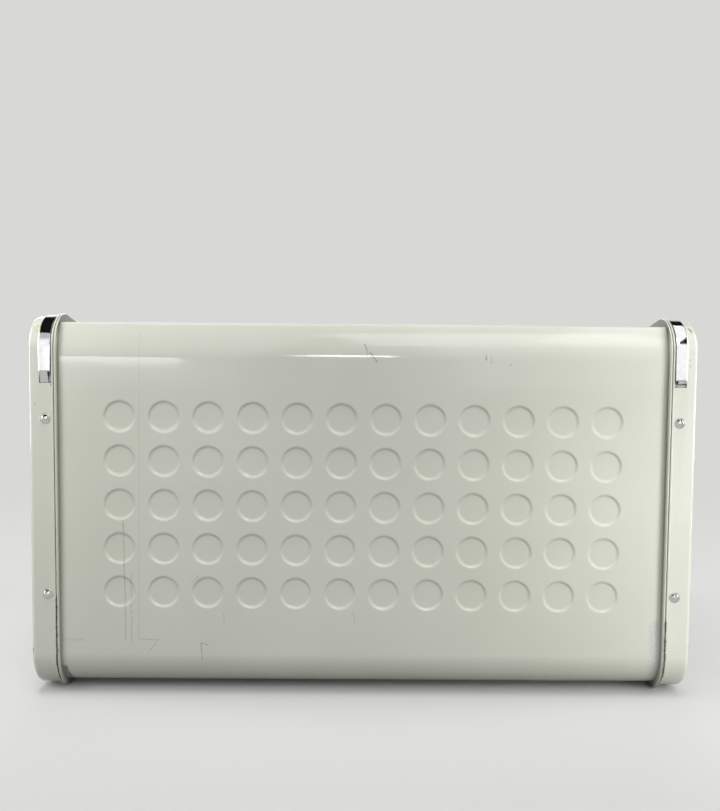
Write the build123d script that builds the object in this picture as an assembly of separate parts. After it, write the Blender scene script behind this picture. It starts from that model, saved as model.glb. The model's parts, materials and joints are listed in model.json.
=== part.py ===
from build123d import *
import os
from math import asin, cos, degrees, radians, sin

# A roll-top bread box of enamelled sheet steel. One folded sheet makes the top, the back, the floor
# and the front sill. A flat inner end closes it at each side, its rim folded up as a standing bead.
# A hollow end cap laps over each inner end, and a chromed strip runs over each cap.
# The curved door turns on two pins in the inner ends and rolls back under the top.
#
# Millimetres, +Z up. The front faces -Y. The origin is on the ground under the middle of the box.
# Left and right are those of someone who looks at the front.
#
# The side view has u, the distance forward of the rearmost face, and z. Angles in it are about the
# door's pivot, 0 forward and 90 up. An inset is a distance inwards from the beads' crest outline.

# Overall size, over the beads and the end caps
width = 410.0
depth = 254.0
height = 238.4

# Side outline, along the beads' crest
corner_radius = 21.5  # the beads' top corner at the back
foot_radius = 27.0  # both bottom corners
top_slope = 12.0  # degrees that the beads' top falls towards the front
swing_room = 4.0  # how far the front arc's circle stays short of the rearmost face
most_turn_under = 40.0  # degrees below level where the front arc ends at the latest

# The wrap's own top, over its outer face: a gentle curve above the flat back, then a tight bend
back_curve_radius = 40.0
back_curve_turn = 31.0  # degrees
wrap_bend_radius = 3.0
wrap_slope = 10.5  # degrees that the wrap's top falls towards the front

# Sheet metal
sheet = 0.8
hem_depth = 8.0
bead_rise = 4.0  # bead crest over the body's surface
bead_width = 1.3
seat_gap = 0.2  # between sheets that lie on each other
curve_gap = 0.1  # between a flat piece and the curved door
same_point = 0.001  # points nearer than this are one point

# End caps
cap_width = 16.25  # from the cap's flat end face to the inner side of its turned-up edge
cap_rise = 2.0  # cap flange over the body's surface
cap_edge_round = 3.0
cap_edge_drop = 0.3  # turned-up edge below the bead's crest
cap_gap = 0.2  # between the turned-up edge and the bead
return_width = 10.0  # inner end's flange under the cap, from the bead outwards

# Pressed discs in the back
disc_pitch = 27.3
disc_mouth = 19.6
disc_floor = 15.6
disc_depth = 1.2
disc_lift = 0.6  # middle of the discs over the middle of the box
disc_skew = 0.36  # degrees that the rows rise towards the right end
disc_end_margin = 34.0  # least distance from an outer disc's centre to the bead
disc_corner_margin = 30.0  # least distance from an outer disc's centre to the flat back's curved ends

# Front sill and the door's overlaps, along the arc
sill_rise = 22.0
door_gap = 2.0  # between the door's skin and the hems of the body
door_low_overlap = 14.5
door_top_overlap = 12.0

# Chromed strips
strip_width = 7.7
strip_thickness = 0.5
strip_rise = 3.0  # strip's face over the body's surface
strip_edge = 6.6  # from the cap's end face to the strip
strip_tail = 14.4  # how far the strip runs down the back past the rounded corner
strip_slip = 3.0  # the left strip hangs this much lower at the back
strip_front_stop = 20.0  # how far above the sill's edge the strip ends at the front, along the arc
strip_clearance = 0.1
tongue_width = 5.6
slot_width = 7.4
slot_length = 7.0  # from the strip's end to the end of its slot
tongue_hook = 3.0  # length of the tongue that lies under the flange

# Rivets
rivet_shank = 1.6
rivet_head = 2.75
rivet_dome = 1.5
rivet_tail = 2.3
rivet_tail_height = 1.0
rivet_edge = 10.5  # from the cap's end face to the rivets
rivet_row_span = 108.8  # between the upper and the lower rivet of the back
bottom_rivet_inset = 34.0  # from the bottom corners' centres to the rivets under the caps
hole_clearance = 0.1

# Tabs that hold the wrap to the inner ends
tab_width = 12.0
tab_inset = 18.0
tab_bend = 7.0
slot_clearance = 0.3

# Pivot
pin_radius = 3.0
pin_head_radius = 7.0
pin_head_height = 1.5
pin_end = 1.0
washer_radius = 9.0
washer_thickness = 1.2
side_play = 0.3
running_gap = 0.05
bush_radius = 4.5
bush_flange_radius = 7.0
bush_flange = 1.0
bush_length = 5.0
retainer_radius = 6.0
retainer_thickness = 1.4
press_gap = 0.01

# Door arms
arm_sheet = 1.2
arm_hub = 14.0
arm_flange = 12.0
arm_low_margin = 9.0  # from the door's edges to the arm, along the arc
arm_high_margin = 40.0
arm_rivet_count = 3
arm_rivet_inset = 8.0
arm_rivet_head = 2.4
arm_rivet_dome = 0.8
arm_rivet_shank = 1.3

# Handle
handle_width = 120.0
handle_sheet = 1.2
handle_above_sill = 3.0
handle_foot = 18.0  # length of the part that lies on the door
handle_reach = 8.6
handle_lip = 9.5
handle_bend = 1.8
screw_radius = 1.9
screw_head_radius = 2.8
screw_head_height = 1.8
screw_spacing = 90.0
screw_from_edge = 4.5
screw_end = 1.0
nut_flats = 7.0
nut_height = 3.0
thread_gap = 0.02

# Stops
buffer_radius = 4.5
buffer_length = 4.4
buffer_stem = 2.0
buffer_bulb = 3.0
buffer_bulb_height = 2.0
buffer_orbit = 86.0  # from the pivot to each buffer
buffer_gap = 0.3
open_margin = 1.5  # degrees left between the handle and the top's edge when the door is open

# What follows is worked out from the sizes above
top_angle = 90.0 - top_slope
front_radius = (depth - swing_room) / 2
rear_top = (corner_radius, height - corner_radius)
top_line = rear_top[0] * cos(radians(top_angle)) + rear_top[1] * sin(radians(top_angle)) + corner_radius
pivot_u = depth - front_radius
pivot_z = (top_line - front_radius - pivot_u * cos(radians(top_angle))) / sin(radians(top_angle))
pivot = (pivot_u, pivot_z)
turn_sine = (pivot_z - foot_radius) / (front_radius - foot_radius)
turn_under = min(degrees(asin(min(1.0, turn_sine))), most_turn_under)
front_drop = (pivot_z - foot_radius) - (front_radius - foot_radius) * sin(radians(turn_under))
front_foot = (
    pivot_u
    + (front_radius - foot_radius) * cos(radians(turn_under))
    - front_drop * sin(radians(turn_under)) / cos(radians(turn_under)),
    foot_radius,
)
rear_foot = (foot_radius, foot_radius)

# The wrap's curve and bend, with their radii as if they were measured along the beads' crest
wrap_top_angle = 90.0 - wrap_slope
curve_end = 180.0 - back_curve_turn
curve_crest = back_curve_radius + bead_rise
bend_crest = wrap_bend_radius + bead_rise
bend_u = curve_crest + (curve_crest - bend_crest) * cos(radians(curve_end))
bend_above_pivot = (front_radius - bend_crest + (pivot_u - bend_u) * cos(radians(wrap_top_angle))) / sin(
    radians(wrap_top_angle)
)
wrap_bend = (bend_u, pivot_z + bend_above_pivot)
back_curve = (curve_crest, wrap_bend[1] - (curve_crest - bend_crest) * sin(radians(curve_end)))

# Centre, radius at the crest, first and last angle of the arcs at the top of the back
end_top = [(rear_top, corner_radius, 180.0, top_angle)]
wrap_top = [
    (back_curve, curve_crest, 180.0, curve_end),
    (wrap_bend, bend_crest, curve_end, wrap_top_angle),
]

wall_inset = bead_rise
cap_inset = bead_rise - cap_rise
return_inset = cap_inset + sheet + seat_gap
strip_inset = bead_rise - strip_rise

cap_face = width / 2
cap_inner = cap_face - cap_width
bead_outer = cap_inner - cap_gap
panel = bead_outer - bead_width  # inboard face of the inner end
return_end = bead_outer + return_width
strip_outer = cap_face - strip_edge
strip_inner = strip_outer - strip_width
slot_outer = strip_inner + (strip_width + tongue_width) / 2
slot_inner = slot_outer - slot_width
rivet_x = cap_face - rivet_edge

door_radius = front_radius - wall_inset - 2 * sheet - door_gap


def along_arc(length, radius):
    return degrees(length / radius)


sill_angle = -turn_under + along_arc(sill_rise, front_radius)
door_low = sill_angle - along_arc(door_low_overlap, door_radius)
door_high = wrap_top_angle + along_arc(door_top_overlap, door_radius)
arm_low = door_low + along_arc(hem_depth + arm_low_margin, door_radius)
arm_high = door_high - along_arc(hem_depth + arm_high_margin, door_radius)
handle_low = sill_angle + along_arc(handle_above_sill, door_radius)
handle_high = handle_low + along_arc(handle_foot + handle_sheet, door_radius)
open_angle = wrap_top_angle - handle_high - open_margin

arm_outer = panel - washer_thickness - side_play
arm_radius = door_radius - sheet - press_gap
retainer_outer = arm_outer - bush_length - side_play
pin_tip = retainer_outer - retainer_thickness - pin_end


def spot(u, z):
    return (depth / 2 - u, z)


def on_circle(centre, radius, angle):
    return (centre[0] + radius * cos(radians(angle)), centre[1] + radius * sin(radians(angle)))


def line(start, end):
    return Line(spot(*start), spot(*end))


def arc(centre, radius, start, end):
    return ThreePointArc(*[spot(*on_circle(centre, radius, a)) for a in (start, (start + end) / 2, end)])


def polygon(points):
    corners = [spot(*p) for p in points]
    return make_face(Polyline(*corners, close=True))


def outline(inset, top=end_top):
    # The closed side outline: tangent arcs and the straight runs between them
    crest = top + [
        (pivot, front_radius, top[-1][3], -turn_under),
        (front_foot, foot_radius, -turn_under, -90.0),
        (rear_foot, foot_radius, -90.0, -180.0),
    ]
    turns = [(centre, radius - inset, start, end) for centre, radius, start, end in crest]
    edges = []
    for turn, following in zip(turns, turns[1:] + turns[:1]):
        edges.append(arc(*turn))
        end = on_circle(turn[0], turn[1], turn[3])
        start = on_circle(following[0], following[1], following[2])
        if abs(end[0] - start[0]) + abs(end[1] - start[1]) > same_point:
            edges.append(line(end, start))
    return make_face(edges)


def ring(outer, inner, top=end_top):
    return outline(outer, top) - outline(inner, top)


def sector(inner, outer, start, end):
    # Part of a circular band about the pivot
    edges = [arc(pivot, outer, start, end)]
    if inner > 0:
        edges.append(arc(pivot, inner, end, start))
    for angle in (start, end):
        edges.append(line(on_circle(pivot, inner, angle), on_circle(pivot, outer, angle)))
    return make_face(edges)


def wedge(start, end):
    # Everything between two rays from the pivot, well past the outline
    reach = 2 * (depth + height)
    fan = [start + (end - start) * step / 4 for step in range(5)]
    return polygon([pivot] + [on_circle(pivot, reach, a) for a in fan])


def slab(sketch, start, end):
    return extrude(Plane.YZ.offset(start) * sketch, amount=end - start)


def turned(points, dome=0.0):
    # A solid of revolution about +Z; the last point is the rim of a dome that rises to the axis
    tip = (0.0, points[-1][1] + dome)
    if dome > 0:
        rim = points[-1]
        bow = (rim[0] ** 2 + dome**2) / (2 * dome)
        centre = tip[1] - bow
        half = asin(rim[0] / bow) / 2
        cap = ThreePointArc(rim, (bow * sin(half), centre + bow * cos(half)), tip)
        profile = make_face([Polyline(tip, *points), cap])
    else:
        profile = make_face(Polyline(tip, *points, close=True))
    return revolve(Plane.XZ * profile, axis=Axis.Z)


def rivet(shank, head, dome, grip):
    points = [
        (0.0, -grip - rivet_tail_height),
        (shank * rivet_tail / rivet_shank, -grip - rivet_tail_height),
        (shank * rivet_tail / rivet_shank, -grip),
        (shank, -grip),
        (shank, 0.0),
        (head, 0.0),
    ]
    return turned(points, dome)


def outboard(x, centre):
    # Turns +Z outboard, to the right, at a point of the side view
    y, z = spot(*centre)
    return Location((x, y, z), (0, 90, 0))


def radial(x, radius, angle):
    # Turns +Z outwards from the pivot, at a point of the door
    y, z = spot(*on_circle(pivot, radius, angle))
    return Location((x, y, z), (90 - angle, 0, 0))


def on_side(side, right):
    if side == "left":
        return mirror(right, about=Plane.YZ)
    return right


def group(solids):
    return Compound(children=[s for item in solids for s in item.solids()])


# The body's wrap


def tab_seats():
    # Middle, run direction and inward normal of each tab, two on each straight run
    runs = [
        (wrap_bend, bend_crest, pivot, front_radius, wrap_top_angle),
        (rear_foot, foot_radius, back_curve, curve_crest, 180.0),
        (front_foot, foot_radius, rear_foot, foot_radius, -90.0),
    ]
    middle = wall_inset + sheet / 2
    seats = []
    for first, first_radius, last, last_radius, facing in runs:
        start = on_circle(first, first_radius - middle, facing)
        end = on_circle(last, last_radius - middle, facing)
        run = ((start[0] - end[0]) ** 2 + (start[1] - end[1]) ** 2) ** 0.5
        ahead = ((end[0] - start[0]) / run, (end[1] - start[1]) / run)
        inward = (-cos(radians(facing)), -sin(radians(facing)))
        for place in (tab_inset, run - tab_inset):
            centre = (start[0] + ahead[0] * place, start[1] + ahead[1] * place)
            seats.append((centre, ahead, inward))
    return seats


def patch(seat, half_width, low, high):
    centre, ahead, inward = seat
    corners = []
    for along, across in ((-1, low), (1, low), (1, high), (-1, high)):
        corners.append(
            (
                centre[0] + ahead[0] * along * half_width + inward[0] * across,
                centre[1] + ahead[1] * along * half_width + inward[1] * across,
            )
        )
    return polygon(corners)


def disc_places():
    flat_low = foot_radius
    flat_high = back_curve[1]
    columns = int(2 * (panel - disc_end_margin) / disc_pitch) + 1
    rows = int((flat_high - flat_low - 2 * disc_corner_margin) / disc_pitch) + 1
    places = []
    for row in range(rows):
        for column in range(columns):
            along = (column - (columns - 1) / 2) * disc_pitch
            up = (row - (rows - 1) / 2) * disc_pitch
            turn = radians(disc_skew)
            x = along * cos(turn) - up * sin(turn)
            z = height / 2 + disc_lift + along * sin(turn) + up * cos(turn)
            places.append((x, z))
    return places


def disc_form(x, inset, z):
    y = depth / 2 - inset
    form = Cone(disc_mouth / 2, disc_floor / 2, disc_depth, align=(Align.CENTER, Align.CENTER, Align.MIN))
    return Location((x, y, z), (90, 0, 0)) * form


def body_wrap():
    hem = along_arc(hem_depth, front_radius)
    fold = ring(wall_inset + sheet / 2, wall_inset + 2 * sheet, wrap_top)
    section = ring(wall_inset, wall_inset + sheet, wrap_top) - wedge(sill_angle, wrap_top_angle)
    section += fold & wedge(wrap_top_angle, wrap_top_angle + hem)
    section += fold & wedge(sill_angle - hem, sill_angle)
    wrap = slab(section, -panel, panel)
    wrap += [disc_form(x, wall_inset + sheet, z) for x, z in disc_places()]
    wrap -= [disc_form(x, wall_inset, z) for x, z in disc_places()]
    bend = panel + sheet
    for seat in tab_seats():
        tab = slab(patch(seat, tab_width / 2, -sheet / 2, sheet / 2), panel - sheet, bend + sheet)
        tab += slab(patch(seat, tab_width / 2, -sheet / 2, tab_bend), bend, bend + sheet)
        wrap += [tab, mirror(tab, about=Plane.YZ)]
    return wrap


# The ends


def strip_ends(slip):
    # Each end of a strip, a function of a length past it and an inset, with its slot's open length
    low = height - corner_radius - strip_tail - slip
    stop = sill_angle + along_arc(strip_front_stop, front_radius)

    def at_back(length, inset):
        return (inset, low - length)

    def at_front(length, inset):
        return on_circle(pivot, front_radius - inset, stop - along_arc(length, front_radius))

    return low, stop, ((at_back, slot_length - slip), (at_front, slot_length))


def end_patch(end, first, last, low, high):
    return polygon([end(first, low), end(last, low), end(last, high), end(first, high)])


def rivet_heights():
    return [height / 2 + side * rivet_row_span / 2 for side in (-1, 1)]


def bottom_rivet_places():
    return [rear_foot[0] + bottom_rivet_inset, front_foot[0] - bottom_rivet_inset]


def rivet_holes(radius):
    reach = 2 * return_inset
    hole = Cylinder(radius, 2 * reach)
    holes = [Location((rivet_x, depth / 2, z), (90, 0, 0)) * hole for z in rivet_heights()]
    holes += [Location((rivet_x, depth / 2 - u, 0)) * hole for u in bottom_rivet_places()]
    return holes


def buffer_places():
    # Under the arm's lower edge when closed, and past its upper edge when open
    offset = degrees(asin((buffer_radius + buffer_gap) / buffer_orbit))
    return [arm_low - offset, arm_high + open_angle + offset]


def inner_end(slip):
    plate = slab(outline(0), panel, panel + sheet)
    plate += slab(ring(0, return_inset + sheet), panel, bead_outer)
    rims = [plate.faces().sort_by(Axis.X)[0], plate.faces().sort_by(Axis.X)[-1]]
    plate = fillet([e for rim in rims for e in rim.outer_wire().edges()], bead_width / 4)
    plate += slab(ring(return_inset, return_inset + sheet), bead_outer - sheet, return_end)
    cuts = rivet_holes(rivet_shank + hole_clearance)
    cuts.append(outboard(panel, pivot) * Cylinder(pin_radius + hole_clearance, 4 * sheet))
    half_slot = sheet / 2 + slot_clearance
    for seat in tab_seats():
        slot = patch(seat, tab_width / 2 + slot_clearance, -half_slot, half_slot)
        cuts.append(slab(slot, panel - sheet, panel + 2 * sheet))
    for angle in buffer_places():
        stem = Cylinder(buffer_stem + hole_clearance, 4 * sheet)
        cuts.append(outboard(panel, on_circle(pivot, buffer_orbit, angle)) * stem)
    room = sheet + slot_clearance
    for end, opening in strip_ends(slip)[2]:
        notch = end_patch(end, -room, opening + tongue_hook + room, cap_inset, return_inset + 3 * sheet)
        cuts.append(slab(notch, slot_inner - room, return_end + room))
    return plate - cuts


def end_cap(slip):
    outer = slab(outline(cap_inset), cap_inner, cap_face)
    outer = fillet(outer.faces().sort_by(Axis.X)[-1].edges(), cap_edge_round)
    inner = slab(outline(cap_inset + sheet), cap_inner - sheet, cap_face - sheet)
    inner = fillet(inner.faces().sort_by(Axis.X)[-1].edges(), cap_edge_round - sheet)
    cap = outer - inner
    cap += slab(ring(cap_edge_drop, cap_inset + sheet), cap_inner, cap_inner + sheet)
    cuts = rivet_holes(rivet_shank + hole_clearance)
    for end, opening in strip_ends(slip)[2]:
        slot = end_patch(end, 0, opening, strip_inset, cap_inset + 2 * sheet)
        cuts.append(slab(slot, slot_inner, slot_outer))
    return cap - cuts


def trim_strip(slip):
    low, stop, ends = strip_ends(slip)
    far = 2 * (depth + height)
    below = polygon(
        [(-far, low), (pivot_u, low), pivot, on_circle(pivot, far, stop), (far, -2 * far), (-far, -2 * far)]
    )
    face = ring(strip_inset, strip_inset + strip_thickness) - below
    side = ring(strip_inset, cap_inset - strip_clearance) - below
    strip = slab(face, strip_inner, strip_outer)
    strip += slab(side, strip_inner, strip_inner + strip_thickness)
    strip += slab(side, strip_outer - strip_thickness, strip_outer)
    start = strip_inset + strip_thickness / 2
    under = cap_inset + sheet + strip_clearance + strip_thickness / 2
    for end, opening in ends:
        route = [
            (-strip_thickness, start),
            (strip_thickness, start),
            (opening - 2 * strip_thickness, under),
            (opening + tongue_hook, under),
        ]
        upper = [end(length, inset - strip_thickness / 2) for length, inset in route]
        lower = [end(length, inset + strip_thickness / 2) for length, inset in route]
        strip += slab(polygon(upper + lower[::-1]), slot_outer - tongue_width, slot_outer - strip_clearance)
    return strip


def rivet_sets():
    grip = 2 * sheet + seat_gap
    one = rivet(rivet_shank, rivet_head, rivet_dome, grip)
    back = []
    bottom = []
    for x in (-rivet_x, rivet_x):
        back += [Location((x, depth / 2 - cap_inset, z), (-90, 0, 0)) * one for z in rivet_heights()]
        bottom += [Location((x, depth / 2 - u, cap_inset), (180, 0, 0)) * one for u in bottom_rivet_places()]
    return group(back), group(bottom)


# The pivot


def pivot_pin():
    length = panel + sheet - pin_tip
    points = [(0.0, -length), (pin_radius, -length), (pin_radius, 0.0), (pin_head_radius, 0.0)]
    return outboard(panel + sheet, pivot) * turned(points, pin_head_height)


def tube(outer, inner, thickness, x):
    # A ring about the pivot line whose outboard face is at x
    body = Cylinder(outer, thickness) - Cylinder(inner, thickness)
    return outboard(x - thickness / 2, pivot) * body


def pivot_washer():
    return tube(washer_radius, pin_radius + hole_clearance, washer_thickness, panel)


def pin_retainer():
    return tube(retainer_radius, pin_radius + press_gap, retainer_thickness, retainer_outer)


def pivot_bush():
    bore = pin_radius + running_gap
    body = tube(bush_radius, bore, bush_length, arm_outer)
    return body + tube(bush_flange_radius, bore, bush_flange, arm_outer - arm_sheet)


def stop_buffers():
    points = [
        (0.0, -buffer_length),
        (buffer_radius, -buffer_length),
        (buffer_radius, 0.0),
        (buffer_stem, 0.0),
        (buffer_stem, sheet),
        (buffer_bulb, sheet),
    ]
    one = turned(points, buffer_bulb_height)
    right = [outboard(panel, on_circle(pivot, buffer_orbit, a)) * one for a in buffer_places()]
    return group(right + [mirror(b, about=Plane.YZ) for b in right])


# The door


def screw_angle():
    return handle_low + along_arc(screw_from_edge, door_radius)


def screw_places():
    return [side * screw_spacing / 2 for side in (-1, 1)]


def screw_holes():
    hole = Cylinder(screw_radius + hole_clearance, 8 * sheet)
    return [radial(x, door_radius, screw_angle()) * hole for x in screw_places()]


def arm_rivet_angles():
    first = arm_low + along_arc(arm_rivet_inset, door_radius)
    last = arm_high - along_arc(arm_rivet_inset, door_radius)
    return [first + (last - first) * i / (arm_rivet_count - 1) for i in range(arm_rivet_count)]


def arm_rivet_x():
    return arm_outer - arm_sheet - arm_flange / 2


def door_skin():
    hem = along_arc(hem_depth, door_radius)
    section = sector(door_radius - sheet, door_radius, door_low, door_high)
    section += sector(door_radius - 2 * sheet, door_radius - sheet / 2, door_low, door_low + hem)
    section += sector(door_radius - 2 * sheet, door_radius - sheet / 2, door_high - hem, door_high)
    skin = slab(section, -arm_outer, arm_outer)
    cuts = screw_holes()
    for angle in arm_rivet_angles():
        hole = Cylinder(arm_rivet_shank + hole_clearance, 8 * sheet)
        cuts += [radial(side * arm_rivet_x(), door_radius, angle) * hole for side in (-1, 1)]
    return skin - cuts


def door_arm():
    face = sector(0, arm_radius, arm_low, arm_high) + Location(spot(*pivot)) * Circle(arm_hub)
    arm = slab(face, arm_outer - arm_sheet, arm_outer)
    rim = sector(arm_radius - arm_sheet, arm_radius, arm_low, arm_high)
    arm += slab(rim, arm_outer - arm_sheet - arm_flange, arm_outer)
    cuts = [outboard(arm_outer, pivot) * Cylinder(bush_radius + press_gap, 4 * arm_sheet)]
    for angle in arm_rivet_angles():
        hole = Cylinder(arm_rivet_shank + hole_clearance, 8 * arm_sheet)
        cuts.append(radial(arm_rivet_x(), door_radius, angle) * hole)
    return arm - cuts


def arm_rivets():
    grip = sheet + curve_gap + arm_sheet
    one = rivet(arm_rivet_shank, arm_rivet_head, arm_rivet_dome, grip)
    places = [(side * arm_rivet_x(), angle) for side in (-1, 1) for angle in arm_rivet_angles()]
    return group([radial(x, door_radius, angle) * one for x, angle in places])


def door_handle():
    # A pressed pull: a foot on the door, a step outwards and a lip that turns down
    foot = curve_gap + handle_sheet / 2
    route = [
        (handle_foot - 2 * handle_bend, foot),
        (handle_foot, foot),
        (handle_foot + handle_sheet / 2, foot + handle_reach),
        (handle_foot - handle_lip, foot + handle_reach),
    ]
    points = []
    for length, out in route:
        angle = handle_low + along_arc(length, door_radius)
        points.append(spot(*on_circle(pivot, door_radius + out, angle)))
    path = FilletPolyline(*points, radius=handle_bend)
    bend = handle_low + along_arc(handle_foot - handle_bend, door_radius)
    base = sector(door_radius + curve_gap, door_radius + curve_gap + handle_sheet, handle_low, bend)
    handle = slab(trace(path, line_width=handle_sheet) + base, -handle_width / 2, handle_width / 2)
    return handle - screw_holes()


def handle_fasteners():
    seat = door_radius + curve_gap + handle_sheet
    length = 2 * curve_gap + handle_sheet + sheet + nut_height + screw_end
    points = [(0.0, -length), (screw_radius, -length), (screw_radius, 0.0), (screw_head_radius, 0.0)]
    screw = turned(points, screw_head_height)
    nut = extrude(RegularPolygon(nut_flats / 2, 6, major_radius=False), amount=nut_height)
    nut -= Cylinder(screw_radius + thread_gap, 3 * nut_height)
    screws = [radial(x, seat, screw_angle()) * screw for x in screw_places()]
    nut_base = door_radius - sheet - curve_gap - nut_height
    nuts = [radial(x, nut_base, screw_angle()) * nut for x in screw_places()]
    return group(screws), group(nuts)


def side_pieces(side, slip):
    right = {
        "inner_end": inner_end(slip),
        "end_cap": end_cap(slip),
        "trim_strip": trim_strip(slip),
        "pivot_pin": pivot_pin(),
        "pivot_washer": pivot_washer(),
        "pin_retainer": pin_retainer(),
        "pivot_bush": pivot_bush(),
        "door_arm": door_arm(),
    }
    return {name + "_" + side: on_side(side, piece) for name, piece in right.items()}


def pieces():
    made = {"body_wrap": body_wrap(), "door_skin": door_skin(), "door_handle": door_handle()}
    made["back_rivets"], made["bottom_rivets"] = rivet_sets()
    made["handle_screws"], made["handle_nuts"] = handle_fasteners()
    made["arm_rivets"] = arm_rivets()
    made["stop_buffers"] = stop_buffers()
    made.update(side_pieces("right", 0.0))
    made.update(side_pieces("left", strip_slip))
    return made


os.makedirs("parts", exist_ok=True)
for name, piece in pieces().items():
    export_step(piece, "parts/" + name + ".step")
print("pivot at y, z", spot(*pivot), "and the door opens by", open_angle, "degrees")
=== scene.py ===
import bpy
import bmesh
import json
from math import asin, atan2, ceil, cos, degrees, pi, radians, sin, tan
from mathutils import Euler, Matrix, Vector

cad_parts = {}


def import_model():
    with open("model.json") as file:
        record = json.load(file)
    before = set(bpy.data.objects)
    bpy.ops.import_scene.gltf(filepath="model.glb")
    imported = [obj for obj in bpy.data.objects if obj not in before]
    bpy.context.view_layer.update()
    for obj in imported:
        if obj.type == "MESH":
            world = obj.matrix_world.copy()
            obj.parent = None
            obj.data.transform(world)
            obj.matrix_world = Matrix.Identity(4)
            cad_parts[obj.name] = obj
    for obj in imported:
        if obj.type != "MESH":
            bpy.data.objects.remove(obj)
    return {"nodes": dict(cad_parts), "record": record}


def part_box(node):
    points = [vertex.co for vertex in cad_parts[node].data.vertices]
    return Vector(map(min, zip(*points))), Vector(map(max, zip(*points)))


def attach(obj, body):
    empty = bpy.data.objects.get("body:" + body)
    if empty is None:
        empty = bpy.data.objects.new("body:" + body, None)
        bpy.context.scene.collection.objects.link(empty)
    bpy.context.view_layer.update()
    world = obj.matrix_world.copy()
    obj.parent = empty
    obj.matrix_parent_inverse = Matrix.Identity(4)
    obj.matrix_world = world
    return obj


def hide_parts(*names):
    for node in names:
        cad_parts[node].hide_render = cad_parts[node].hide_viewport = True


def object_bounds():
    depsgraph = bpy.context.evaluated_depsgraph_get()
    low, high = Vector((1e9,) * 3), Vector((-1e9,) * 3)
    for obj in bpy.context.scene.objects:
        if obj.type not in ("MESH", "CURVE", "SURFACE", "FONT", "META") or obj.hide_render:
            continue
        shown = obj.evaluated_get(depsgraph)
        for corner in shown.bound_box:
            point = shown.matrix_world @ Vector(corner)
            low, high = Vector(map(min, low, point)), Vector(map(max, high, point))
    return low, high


# A roll-top bread box of white enamelled sheet steel, seen from behind.
# Metres, +Z up, the door faces -Y. "Right" is the +X end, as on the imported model.
# The side view has angles about a centre: 0 forward, 90 up. An inset is measured inwards from the
# crest of the beads, which is the box's outline.

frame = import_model()
cadLow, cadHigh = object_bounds()
pivot = Vector(frame["record"]["behaviour"]["joints"][0]["pos_m"])
print("frame loaded,", len(frame["nodes"]), "nodes")

sideShape = {
    "cornerRadius": 0.0215,     # the beads' top corner at the back
    "footRadius": 0.027,
    "topSlope": 12.0,           # of the beads
    "backCurveRadius": 0.040,   # the wrap's gentle curve above its flat back
    "backCurveTurn": 31.0,
    "wrapBendRadius": 0.003,    # and its bend into the top
    "wrapSlope": 10.5,
    "beadRise": 0.004,          # bead crest over the body's surface
    "sheet": 0.0008,
    "sillRise": 0.022,
    "degreesPerStep": 2.0,
    "foldSteps": 8,
}
samePoint = 1e-6  # points nearer than this are one point
slack = 1e-5      # allowed in tests of a point's place

frontRadius = pivot.y - cadLow.y
topAngle = 90 - sideShape["topSlope"]
wrapTopAngle = 90 - sideShape["wrapSlope"]
bodyInset = sideShape["beadRise"]


# Side view geometry

def sidePoint(centre, radius, angle, x=0.0):
    return Vector((x, centre.y - radius * cos(radians(angle)), centre.z + radius * sin(radians(angle))))


def cornerCentre(radius, y, angle):  # of an arc that touches the top, which falls at this angle
    outward = sidePoint(Vector(), 1, angle)
    z = (sidePoint(pivot, frontRadius, angle).dot(outward) - radius - y * outward.y) / outward.z
    return Vector((0, y, z))


footRadius = sideShape["footRadius"]
turnUnder = degrees(asin((pivot.z - footRadius) / (frontRadius - footRadius)))
rearFoot = Vector((0, cadHigh.y - footRadius, footRadius))
frontFoot = sidePoint(pivot, frontRadius - footRadius, -turnUnder)
sillAngle = degrees(sideShape["sillRise"] / frontRadius) - turnUnder
cornerRadius = sideShape["cornerRadius"]
rearTop = cornerCentre(cornerRadius, cadHigh.y - cornerRadius, topAngle)
endTurns = [  # centre, radius at the crest, first and last angle
    (rearTop, cornerRadius, 180, topAngle),
    (pivot, frontRadius, topAngle, -turnUnder),
    (frontFoot, footRadius, -turnUnder, -90),
    (rearFoot, footRadius, -90, -180),
]

curveRadius = sideShape["backCurveRadius"] + bodyInset
bendRadius = sideShape["wrapBendRadius"] + bodyInset
curveEnd = 180 - sideShape["backCurveTurn"]
toBend = sidePoint(Vector(), curveRadius - bendRadius, curveEnd)
wrapBend = cornerCentre(bendRadius, cadHigh.y - curveRadius + toBend.y, wrapTopAngle)
wrapTurns = [(wrapBend - toBend, curveRadius, 180, curveEnd), (wrapBend, bendRadius, curveEnd, wrapTopAngle)]


def roundCorners(corners, steps=4):  # corners are (x, inset, radius)
    made = []
    for index, (x, inset, radius) in enumerate(corners):
        here = Vector((x, inset))
        if radius == 0:
            made.append(here)
            continue
        before = (Vector(corners[index - 1][:2]) - here).normalized()
        after = (Vector(corners[index + 1][:2]) - here).normalized()
        half = before.angle(after) / 2
        centre = here + (before + after).normalized() * radius / sin(half)
        first = here + before * radius / tan(half) - centre
        last = here + after * radius / tan(half) - centre
        sweep = atan2(first.x * last.y - first.y * last.x, first.dot(last))
        for step in range(steps + 1):
            made.append(centre + Matrix.Rotation(sweep * step / steps, 2) @ first)
    return made


# Modelling helpers

def deselectAll():
    if bpy.context.mode != "OBJECT":
        bpy.ops.object.mode_set(mode="OBJECT")
    bpy.ops.object.select_all(action="DESELECT")


def startPiece(name):
    deselectAll()
    bpy.ops.mesh.primitive_plane_add(size=0.01)
    piece = bpy.context.object
    piece.name = name
    piece.data.name = name
    bpy.ops.object.mode_set(mode="EDIT")
    bpy.ops.mesh.select_mode(type="VERT")
    return piece


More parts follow.
